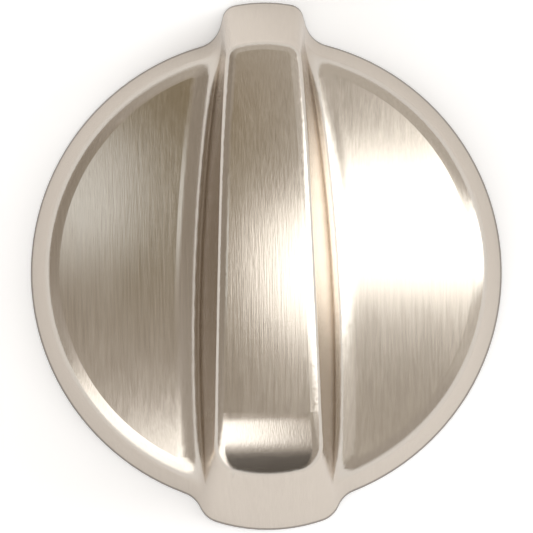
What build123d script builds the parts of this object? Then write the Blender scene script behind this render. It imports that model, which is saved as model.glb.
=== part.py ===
"""Stove knob: a drawn steel shell with a raised grip bar, on a moulded core with a spring clip for the shaft.

Millimetres. +Z points out of the front face, +Y to the narrow pointer end of the bar.
The origin is on the shaft axis, in the plane of the rear rim.
"""
import os
from math import asin, cos, degrees, radians, tan

from build123d import *

# Disc
disc_diameter = 50.0
disc_height = 7.0
skirt_draft = 18.0
face_rise = 1.9
rim_radius = 2.1

# Grip bar where it meets the plane of the rear rim
pointer_overhang = 3.7
pointer_half_width = 4.0
pointer_bulge = 0.5
pointer_draft = 17.9
grip_overhang = 2.3
grip_half_width = 7.3
grip_bulge = 1.55
grip_draft = 18.2
side_bulge = 2.9
wall_draft = 11.0

# Top of the grip bar
bar_height = 22.0
crest_pointer_half_width = 3.6
crest_pointer_bulge = 0.65
crest_grip_half_width = 5.1
crest_grip_bulge = 0.8
crest_apex = -6.0
crest_radius = 130.0
crest_crown = 110.0
grip_roll_run = 12.7
grip_roll_radius = 12.0
grip_roll_turn = 34.0
pointer_corner_radius = 1.6
grip_corner_radius = 2.8
crest_edge_radius = 1.2
foot_radius = 3.0

# Steel sheet and its rolled rear lip
sheet = 0.6
lip_width = 2.2
lip_roll = 0.45
lip_neck_radius = 2.0

# Moulded core
core_clearance = 0.1
core_wall = 2.0
rib = 1.6
hub_diameter = 14.0
trench_depth = 15.5
trench_draft = 6.0
trench_wall = 1.8
trench_gap = 1.2
trench_hub_half_width = 3.9
trench_pointer_half_width = 2.7
trench_grip_half_width = 4.3
trench_end_wall = 5.0

# Valve shaft that the hub takes, and the hole for it
shaft_diameter = 6.35
shaft_across_flat = 4.75
shaft_clearance = 0.05
lead_in_radius = 3.5
lead_in_depth = 4.0
socket_depth = 15.0

# Spring clip behind the flat of the shaft
clip_strip = 0.4
clip_width = 3.6
clip_clearance = 0.05
clip_bow = 0.75
clip_foot_reach = 5.0
clip_foot_seat = 0.5
clip_tail = 0.6


pointer_reach = disc_diameter / 2 + pointer_overhang
grip_reach = disc_diameter / 2 + grip_overhang


def outline(pointer, pointer_half, pointer_arc, grip, grip_half, grip_arc, side_arc):
    """Plan of the grip bar at one height: curved ends, and sides that are curved by side_arc or straight."""
    pointer_corner = pointer - pointer_arc
    grip_corner = grip_arc - grip
    middle = (pointer_half + grip_half) / 2 + side_arc
    middle_y = (pointer_corner + grip_corner) / 2
    if side_arc > 0:
        ThreePointArc((grip_half, grip_corner), (middle, middle_y), (pointer_half, pointer_corner))
        ThreePointArc((-pointer_half, pointer_corner), (-middle, middle_y), (-grip_half, grip_corner))
    else:
        Line((grip_half, grip_corner), (pointer_half, pointer_corner))
        Line((-pointer_half, pointer_corner), (-grip_half, grip_corner))
    ThreePointArc((pointer_half, pointer_corner), (0, pointer), (-pointer_half, pointer_corner))
    ThreePointArc((-grip_half, grip_corner), (0, -grip), (grip_half, grip_corner))


def inset_disc(inset):
    """The disc of the knob with its skirt and face moved inwards by inset."""
    face_radius = disc_diameter / 2 - disc_height * tan(radians(skirt_draft))
    dome_radius = (face_radius**2 + face_rise**2) / (2 * face_rise)
    cone_height = disc_height + face_rise
    base_radius = disc_diameter / 2 - inset / cos(radians(skirt_draft))
    top_radius = base_radius - cone_height * tan(radians(skirt_draft))
    with BuildPart() as disc:
        with BuildSketch(Plane.YZ) as half_section:
            with BuildLine():
                Polyline((0, 0), (base_radius, 0), (top_radius, cone_height), (0, cone_height), close=True)
            make_face()
            with Locations((0, cone_height - dome_radius)):
                Circle(dome_radius - inset, mode=Mode.INTERSECT)
            rim = half_section.vertices().sort_by(Axis.X)[-2]
            fillet(rim, rim_radius)
        revolve(axis=Axis.Z)
    return disc.part


def inset_bar(inset):
    """The grip bar with its walls and top moved inwards by inset."""
    loft_height = bar_height + 2.0
    crest_pointer = pointer_reach - loft_height * tan(radians(pointer_draft))
    crest_grip = grip_reach - loft_height * tan(radians(grip_draft))
    wall_inset = inset / cos(radians(wall_draft))
    crest_centre = bar_height - crest_radius
    roll_lean = degrees(asin((crest_apex + grip_reach - grip_roll_run) / crest_radius))
    pointer_lean = degrees(asin((pointer_reach - crest_apex) / crest_radius))
    with BuildPart() as bar:
        with BuildSketch(Plane.XY):
            with BuildLine():
                outline(
                    pointer_reach - wall_inset,
                    pointer_half_width - wall_inset,
                    pointer_bulge,
                    grip_reach - wall_inset,
                    grip_half_width - wall_inset,
                    grip_bulge,
                    side_bulge,
                )
            make_face()
        with BuildSketch(Plane.XY.offset(loft_height)):
            with BuildLine():
                outline(
                    crest_pointer - wall_inset,
                    crest_pointer_half_width - wall_inset,
                    crest_pointer_bulge,
                    crest_grip - wall_inset,
                    crest_grip_half_width - wall_inset,
                    crest_grip_bulge,
                    0,
                )
            make_face()
        loft(ruled=True)
        corners = [edge for edge in bar.edges() if edge.bounding_box().size.Z > bar_height]
        pointer_corners = [edge for edge in corners if edge.center().Y > 0]
        fillet(pointer_corners, max(pointer_corner_radius - inset, 0.3))
        corners = [edge for edge in bar.edges() if edge.bounding_box().size.Z > bar_height]
        grip_corners = [edge for edge in corners if edge.center().Y < 0]
        fillet(grip_corners, max(grip_corner_radius - inset, 0.3))
        with BuildSketch(Plane.YZ):
            with BuildLine():
                back = CenterArc(
                    (crest_apex, crest_centre),
                    crest_radius - inset,
                    90 - pointer_lean,
                    pointer_lean + roll_lean,
                )
                roll = JernArc(back @ 1, back % 1, grip_roll_radius - inset, grip_roll_turn)
                fall = Line(roll @ 1, (roll @ 1) + (roll % 1) * 12)
                Polyline(
                    fall @ 1,
                    ((fall @ 1).X, -1),
                    ((back @ 0).X, -1),
                    back @ 0,
                )
            make_face()
        revolve(axis=Axis((0, 0, bar_height - crest_crown), (0, 1, 0)), mode=Mode.INTERSECT)
        top_edges = [
            edge
            for edge in bar.edges()
            if edge.geom_type != GeomType.LINE and edge.bounding_box().min.Z > disc_height + 5
        ]
        fillet(top_edges, max(crest_edge_radius - inset, 0.3))
    return bar.part


def inset_form(inset):
    """The whole drawn form moved inwards by inset: disc and bar, blended along the foot of the bar."""
    disc = inset_disc(inset)
    bar = inset_bar(inset)
    with BuildPart() as form:
        add(disc)
        add(bar)
        foot = form.edges(Select.NEW).filter_by(lambda edge: edge.bounding_box().max.Z > 0.01)
        fillet(foot, foot_radius + inset)
    return form.part


# Steel shell: the drawn form with the same form inside it cut away, down to the rolled lip
outside = inset_form(0)
hollow = split(inset_form(sheet), bisect_by=Plane.XY.offset(sheet), keep=Keep.TOP)
with BuildPart() as steel_shell:
    add(outside)
    fillet(steel_shell.faces().sort_by(Axis.Z)[0].outer_wire().edges(), lip_roll)
    add(hollow, mode=Mode.SUBTRACT)
    with BuildSketch(Plane.XY):
        Circle(disc_diameter / 2 - lip_width)
        with BuildLine():
            outline(
                pointer_reach - lip_width,
                pointer_half_width - lip_width,
                pointer_bulge,
                grip_reach - lip_width,
                grip_half_width - lip_width,
                grip_bulge,
                side_bulge,
            )
        make_face()
        offset(amount=lip_neck_radius, kind=Kind.INTERSECTION)
        offset(amount=-lip_neck_radius, kind=Kind.ARC)
    extrude(amount=sheet, mode=Mode.SUBTRACT)
steel_shell.part.label = "steel_shell"

# Core, first the four pockets left and right of the bar: the disc's inside without hub, ribs and bar
core_inset = sheet + core_clearance
tower_half_width = trench_hub_half_width + trench_wall
pocket_space = inset_disc(core_inset + core_wall)
with BuildPart() as pockets:
    add(pocket_space)
    with BuildSketch(Plane.XY):
        Circle(hub_diameter / 2)
        Rectangle(disc_diameter, rib)
        Rectangle(2 * tower_half_width, disc_diameter)
    extrude(amount=disc_height + face_rise, mode=Mode.SUBTRACT)

# Core, then the two trenches that hollow the bar on either side of the hub
trench_start = hub_diameter / 2 + trench_gap
with BuildPart() as trenches:
    with BuildSketch(Plane.XY):
        with BuildLine():
            Polyline(
                (trench_hub_half_width, trench_start),
                (trench_pointer_half_width, pointer_reach - trench_end_wall),
                (-trench_pointer_half_width, pointer_reach - trench_end_wall),
                (-trench_hub_half_width, trench_start),
                close=True,
            )
        make_face()
        with BuildLine():
            Polyline(
                (-trench_hub_half_width, -trench_start),
                (-trench_grip_half_width, trench_end_wall - grip_reach),
                (trench_grip_half_width, trench_end_wall - grip_reach),
                (trench_hub_half_width, -trench_start),
                close=True,
            )
        make_face()
    extrude(amount=trench_depth, taper=trench_draft)

# Core: the inside form of the shell on the lip, with the hub standing out to the plane of the rim
shaft_flat = shaft_across_flat - shaft_diameter / 2
slot_reach = shaft_flat + clip_strip + clip_bow + clip_clearance
slot_width = clip_width + 2 * clip_clearance
foot_level = lead_in_depth + clip_foot_seat
body = split(inset_form(core_inset), bisect_by=Plane.XY.offset(sheet), keep=Keep.TOP)
with BuildPart() as core:
    add(body)
    add(pockets.part, mode=Mode.SUBTRACT)
    add(trenches.part, mode=Mode.SUBTRACT)
    with BuildSketch(Plane.XY):
        Circle(hub_diameter / 2)
    extrude(amount=disc_height)
    with BuildSketch(Plane.XY):
        Circle(lead_in_radius)
    extrude(amount=lead_in_depth, mode=Mode.SUBTRACT)
    with BuildSketch(Plane.XY.offset(lead_in_depth)):
        Circle(shaft_diameter / 2 + shaft_clearance)
        Rectangle(slot_width, slot_reach, align=(Align.CENTER, Align.MAX))
    extrude(amount=socket_depth - lead_in_depth, mode=Mode.SUBTRACT)
    with BuildSketch(Plane.XY):
        Rectangle(slot_width, clip_foot_reach + clip_clearance, align=(Align.CENTER, Align.MAX))
    extrude(amount=foot_level, mode=Mode.SUBTRACT)
core.part.label = "core"

# Spring clip: a strip with its foot in the hub's notch and its bow against the flat of the shaft
strip_back = slot_reach - clip_clearance - clip_strip / 2
strip_front = strip_back - clip_bow
foot_line = foot_level - clip_clearance - clip_strip / 2
bow_start = foot_level + 1.2
bow_end = socket_depth - 1.2
with BuildPart() as shaft_clip:
    with BuildSketch(Plane.YZ):
        with BuildLine():
            strip = Polyline(
                (-clip_foot_reach, foot_line),
                (-strip_back, foot_line),
                (-strip_back, bow_start),
            )
            bow = ThreePointArc(
                strip @ 1,
                (-strip_front, (bow_start + bow_end) / 2),
                (-strip_back, bow_end),
            )
            Line(bow @ 1, (-strip_back, bow_end + clip_tail))
        trace(line_width=clip_strip)
    extrude(amount=clip_width / 2, both=True)
shaft_clip.part.label = "shaft_clip"

os.makedirs("parts", exist_ok=True)
export_step(steel_shell.part, "parts/steel_shell.step")
export_step(core.part, "parts/core.step")
export_step(shaft_clip.part, "parts/shaft_clip.step")
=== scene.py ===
import math

import bpy
from mathutils import Euler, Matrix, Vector

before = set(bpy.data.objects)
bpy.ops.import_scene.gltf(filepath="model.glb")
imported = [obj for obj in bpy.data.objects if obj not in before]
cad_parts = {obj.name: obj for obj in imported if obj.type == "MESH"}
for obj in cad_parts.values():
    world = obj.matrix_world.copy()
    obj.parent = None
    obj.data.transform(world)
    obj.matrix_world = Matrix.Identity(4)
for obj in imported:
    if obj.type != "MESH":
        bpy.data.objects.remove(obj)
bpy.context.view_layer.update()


# Steel shell: one stainless sheet, drawn into disc, bar and ends in a press tool, its lip rolled under.
# The sheet was brushed along the bar, so one straight grain runs over all of it. About the lowest
# millimetre of the wall is darkened as painted shade: the floor's contact shadow, painted where the wall
# would reflect it.
class Wire:
    """One output of a shader tree. Arithmetic on it adds Math nodes; node() adds any other kind."""

    def __init__(self, tree, socket=None):
        self.tree = tree
        self.socket = socket

    def node(self, kind, settings=None, sockets=None, out=0):
        """A new node of that kind with its settings and its input sockets, as the wire of one output."""
        made = self.tree.nodes.new(kind)
        for name, value in (settings or {}).items():
            setattr(made, name, value)
        for name, value in (sockets or {}).items():
            if isinstance(value, Wire):
                self.tree.links.new(value.socket, made.inputs[name])
            else:
                made.inputs[name].default_value = value
        return Wire(self.tree, made.outputs[out] if made.outputs else None)

    def math(self, operation, *others):
        """A Math node on this wire and the others, which may be wires or numbers."""
        return self.node(
            "ShaderNodeMath", {"operation": operation}, dict(enumerate((self, *others)))
        )

    def __add__(self, other):
        return self.math("ADD", other)

    def __radd__(self, other):
        return self.math("ADD", other)

    def __sub__(self, other):
        return self.math("SUBTRACT", other)

    def __rsub__(self, other):
        return self.math("MULTIPLY_ADD", -1.0, other)

    def __mul__(self, other):
        return self.math("MULTIPLY", other)

    def __rmul__(self, other):
        return self.math("MULTIPLY", other)

    def __truediv__(self, other):
        return self.math("DIVIDE", other)

    def __abs__(self):
        return self.math("ABSOLUTE")

    def step(self, low, high):
        """0 below low, 1 above high, smooth in between."""
        return self.node(
            "ShaderNodeMapRange",
            {"interpolation_type": "SMOOTHSTEP"},
            {"Value": self, "From Min": low, "From Max": high},
        )

    def band(self, rise, fall):
        """0 below the rise, 1 between the rise and the fall, 0 above the fall; each is a low and a high."""
        return self.step(*rise) * (1.0 - self.step(*fall))

    def mix(self, a, b):
        """The colour a where this is 0 and b where it is 1."""
        return self.node("ShaderNodeMix", {"data_type": "RGBA"}, {0: self, 6: a, 7: b}, out=2)

    def parts(self):
        """The three numbers of this vector, as three wires."""
        split = self.tree.nodes.new("ShaderNodeSeparateXYZ")
        self.tree.links.new(self.socket, split.inputs[0])
        return [Wire(self.tree, output) for output in split.outputs]

    def millimetres(self):
        """The place on the piece in its own coordinates, in millimetres, as three wires."""
        place = self.node("ShaderNodeTexCoord", out="Object")
        scaled = self.node(
            "ShaderNodeVectorMath", {"operation": "SCALE"}, {0: place, "Scale": 1000.0}
        )
        return scaled.parts()

    def noise(self, x, y, z, scale, detail, rough=0.5):
        """Noise at the point x, y, z, from 0 to 1."""
        point = self.node("ShaderNodeCombineXYZ", None, {0: x, 1: y, 2: z})
        return self.node(
            "ShaderNodeTexNoise",
            None,
            {"Vector": point, "Scale": scale, "Detail": detail, "Roughness": rough},
        )

    def bump(self, height, depth):
        """The normal of a surface with that height, from 0 to 1, over a depth in metres."""
        return self.node(
            "ShaderNodeBump", None, {"Strength": 1.0, "Distance": depth, "Height": height}
        )


def new_finish(name):
    """A material of that name with an empty shader tree, and a wire to build the tree from."""
    material = bpy.data.materials.new(name)
    material.use_nodes = True
    material.node_tree.nodes.clear()
    return material, Wire(material.node_tree)


def dress(node_name, material):
    """Gives one solid of the frame that material and no other."""
    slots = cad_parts[node_name].data.materials
    slots.clear()
    slots.append(material)


steel_dark = (0.484, 0.447, 0.405, 1)
steel_pale = (0.653, 0.611, 0.558, 1)
steel_edge_tint = (0.89, 0.84, 0.79, 1)
# Painted shade: the dark colour, its strength and its top edge stand in for the reflected contact shadow at
# the foot of the wall.
contact_shadow_reflection_colour = (0.095, 0.086, 0.082, 1)
contact_shadow_reflection_strength = 0.85
contact_shadow_reflection_top = (0.9, 1.4)
end_wall_turn = (0.45, 0.8)
end_wall_stretch = 0.97
grain_depth = 0.000010

steel, begin = new_finish("brushed_steel")
x, y, z = begin.millimetres()
facing_y = begin.node("ShaderNodeTexCoord", out="Normal").parts()[1]
end_wall = abs(facing_y).step(*end_wall_turn)
across = z * (1.0 - end_wall * end_wall_stretch)
hair = begin.noise(x, y * 0.02, across, scale=10.0, detail=2.0, rough=0.6)
scratch = begin.noise(x, y * 0.022, across, scale=4.5, detail=2.0, rough=0.55)
streak = begin.noise(x, y * 0.04, across, scale=1.6, detail=2.0)
cloud = begin.noise(x, y * 0.7, z, scale=0.16, detail=3.0)
tone = (
    0.5
    + (hair - 0.5) * 0.60
    + (scratch - 0.5) * 0.38
    + (streak - 0.5) * 0.08
    + (cloud - 0.5) * 0.15
)
# Painted shade: 1 at the foot of the wall, fading out above it, where the steel would reflect the floor's
# contact shadow.
painted_contact_shadow = 1.0 - z.step(*contact_shadow_reflection_top)
grain = hair * 0.40 + scratch * 0.48 + streak * 0.12
shader = begin.node(
    "ShaderNodeBsdfPrincipled",
    None,
    {
        "Base Color": (painted_contact_shadow * contact_shadow_reflection_strength).mix(tone.mix(steel_dark, steel_pale), contact_shadow_reflection_colour),
        "Metallic": 1.0,
        "Roughness": 0.19 + (scratch - 0.5) * 0.10 + (cloud - 0.5) * 0.06,
        "Specular Tint": steel_edge_tint,
        "Normal": begin.bump(grain, grain_depth),
    },
)
begin.node("ShaderNodeOutputMaterial", None, {"Surface": shader})
dress("steel_shell", steel)

# Core: the dark body that the shell is pressed over, moulded in one shot from a heat-proof plastic.
# It has a matt skin from its mould.
plastic_dark = (0.020, 0.020, 0.021, 1)
plastic_pale = (0.040, 0.040, 0.042, 1)
skin_depth = 0.00002

plastic, begin = new_finish("core_plastic")
x, y, z = begin.millimetres()
speck = begin.noise(x, y, z, scale=9.0, detail=2.0)
flow = begin.noise(x, y, z, scale=0.3, detail=3.0)
shader = begin.node(
    "ShaderNodeBsdfPrincipled",
    None,
    {
        "Base Color": flow.mix(plastic_dark, plastic_pale),
        "Roughness": 0.5 + (flow - 0.5) * 0.2,
        "Normal": begin.bump(speck, skin_depth),
    },
)
begin.node("ShaderNodeOutputMaterial", None, {"Surface": shader})
dress("core", plastic)

# Spring clip: a bowed leaf of rolled spring steel, pushed into the slot beside the shaft's flat.
# Lines from the rolling mill run along it.
spring_dark = (0.36, 0.35, 0.34, 1)
spring_pale = (0.55, 0.54, 0.52, 1)
mill_line_depth = 0.000006

spring, begin = new_finish("spring_steel")
x, y, z = begin.millimetres()
mill_lines = begin.noise(x, y * 0.1, z * 0.1, scale=12.0, detail=2.0)
shader = begin.node(
    "ShaderNodeBsdfPrincipled",
    None,
    {
        "Base Color": mill_lines.mix(spring_dark, spring_pale),
        "Metallic": 1.0,
        "Roughness": 0.3 + (mill_lines - 0.5) * 0.1,
        "Normal": begin.bump(mill_lines, mill_line_depth),
    },
)
begin.node("ShaderNodeOutputMaterial", None, {"Surface": shader})
dress("shaft_clip", spring)

# Floor: a plain white board that the knob lies on, which takes its shadow.
# The board is a little brighter to the eye and in the steel than its paint, so that it reads as white.
board_half = 3.0
board_paint = (0.86, 0.885, 0.93, 1)
board_glow = 0.25

board_mesh = bpy.data.meshes.new("floor")
board_mesh.from_pydata(
    [
        (-board_half, -board_half, 0),
        (board_half, -board_half, 0),
        (board_half, board_half, 0),
        (-board_half, board_half, 0),
    ],
    [],
    [(0, 1, 2, 3)],
)
floor = bpy.data.objects.new("floor", board_mesh)
bpy.context.scene.collection.objects.link(floor)
board, begin = new_finish("board")
seen = begin.node("ShaderNodeLightPath", out="Is Camera Ray")
mirrored = begin.node("ShaderNodeLightPath", out="Is Glossy Ray")
through = begin.node("ShaderNodeLightPath", out="Is Transmission Ray")
looked_at = (seen + mirrored + through).math("MINIMUM", 1.0)
paint = begin.node("ShaderNodeBsdfDiffuse", None, {"Color": board_paint})
glow = begin.node(
    "ShaderNodeEmission", None, {"Color": (1, 1, 1, 1), "Strength": looked_at * board_glow}
)
both = begin.node("ShaderNodeAddShader", None, {0: paint, 1: glow})
begin.node("ShaderNodeOutputMaterial", None, {"Surface": both})
board_mesh.materials.append(board)

# Light: a studio with warm pale walls under a dimmer ceiling. One tall panel stands at the right and one at
# the lower left, with a dark gap beside it at the foot. A soft box hangs at the right and one at the foot,
# and a white board hangs at the left, next to a patch of shade.
wall_tone = (0.60, 0.54, 0.475, 1)
far_wall_tone = (0.78, 0.72, 0.64, 1)
left_wall_tone = (0.46, 0.40, 0.335, 1)
right_wall_tone = (0.85, 0.79, 0.71, 1)
right_panel_tone = (5.2, 5.2, 5.1, 1)
left_panel_tone = (2.35, 2.28, 2.18, 1)
foot_gap_tone = (0.14, 0.125, 0.11, 1)
ceiling_tone = (0.48, 0.415, 0.34, 1)
far_shade_tone = (0.35, 0.28, 0.175, 1)
far_end_tone = (0.50, 0.41, 0.285, 1)
near_side_tone = (0.72, 0.66, 0.57, 1)
right_side_tone = (0.75, 0.70, 0.63, 1)
left_shade_tone = (0.28, 0.215, 0.115, 1)
left_board_tone = (1.30, 1.31, 1.27, 1)
right_box_tone = (3.6, 3.5, 3.34, 1)
right_box_centre = (0.461, 0.119)
right_box_reach = (0.479, 0.131)
foot_box_tone = (2.7, 2.64, 2.55, 1)
studio_level = 0.95

world = bpy.data.worlds.new("studio")
bpy.context.scene.world = world
world.use_nodes = True
world.node_tree.nodes.clear()
begin = Wire(world.node_tree)
way_x, way_y, way_z = begin.node("ShaderNodeTexCoord", out="Generated").parts()
up = way_z.math("MAXIMUM", 0.05)
lean_x = way_x / up
lean_y = way_y / up
level_part = (way_x * way_x + way_y * way_y).math("SQRT").math("MAXIMUM", 0.01)


def toward(bearing):
    """The cosine of the angle, seen from above, between a ray and a bearing: 0 is right and 90 is far."""
    turn = math.radians(bearing)
    return (way_x * math.cos(turn) + way_y * math.sin(turn)) / level_part


wall = toward(70).step(0.5, 0.95).mix(wall_tone, far_wall_tone)
wall = toward(160).step(0.87, 0.97).mix(wall, left_wall_tone)
wall = toward(348).step(0.94, 0.985).mix(wall, right_wall_tone)
right_panel = toward(19).step(0.922, 0.966) * (1.0 - toward(60).step(0.67, 0.78))
wall = right_panel.mix(wall, right_panel_tone)
wall = toward(232).step(0.86, 0.97).mix(wall, left_panel_tone)
foot_gap = toward(270).step(0.93, 0.985) * (1.0 - way_z.step(0.60, 0.75))
wall = foot_gap.mix(wall, foot_gap_tone)
ceiling = way_z.step(0.80, 0.935)
room = ceiling.mix(wall, ceiling_tone)
far_side = lean_y.step(0.16, 0.30) * (1.0 - lean_x.step(-0.10, 0.14)) * ceiling
room = far_side.mix(room, lean_y.step(0.34, 0.44).mix(far_shade_tone, far_end_tone))
near_side = (1.0 - lean_y.step(-0.32, -0.23)) * lean_x.step(0.05, 0.14) * ceiling
room = near_side.mix(room, near_side_tone)
right_side = lean_x.step(0.0, 0.20) * lean_y.step(-0.26, -0.06) * ceiling
room = right_side.mix(room, right_side_tone)
left_shade = lean_x.band((-0.36, -0.24), (-0.14, -0.08)) * lean_y.step(-0.10, 0.06) * ceiling
room = left_shade.mix(room, left_shade_tone)
left_board = lean_x.band((-0.52, -0.42), (-0.27, -0.20)) * lean_y.band((0.02, 0.12), (0.24, 0.34))
room = (left_board * ceiling).mix(room, left_board_tone)
off_x = ((lean_x - right_box_centre[0]) / right_box_reach[0]).math("POWER", 4.0)
off_y = ((lean_y - right_box_centre[1]) / right_box_reach[1]).math("POWER", 4.0)
right_box = 1.0 - (off_x + off_y).math("POWER", 0.25).step(0.90, 1.06)
room = right_box.mix(room, right_box_tone)
foot_box = lean_y.band((-1.0, -0.75), (-0.30, -0.24)) * lean_x.band((-0.66, -0.46), (-0.03, 0.08))
room = foot_box.mix(room, foot_box_tone)
back = begin.node("ShaderNodeBackground", None, {"Color": room, "Strength": studio_level})
begin.node("ShaderNodeOutputWorld", None, {"Surface": back})

# Camera: high above the face on a long lens, a little towards the foot of the picture, and turned by
# the picture's small lean.
lens_height = 0.40
lens_set_back = 0.012
picture_lean = math.radians(-0.77)
aim = Vector((-0.00013, 0.00063, 0.0))

camera = bpy.data.cameras.new("camera")
camera.lens = 256.0
camera.sensor_width = 36.0
camera.clip_end = 20.0
eye = bpy.data.objects.new("camera", camera)
eye.location = aim + Vector((0.0, -lens_set_back, lens_height))
eye.rotation_euler = Euler((math.atan2(lens_set_back, lens_height), 0, picture_lean), "XYZ")
bpy.context.scene.collection.objects.link(eye)
bpy.context.scene.camera = eye
bpy.context.scene.view_settings.view_transform = "Standard"
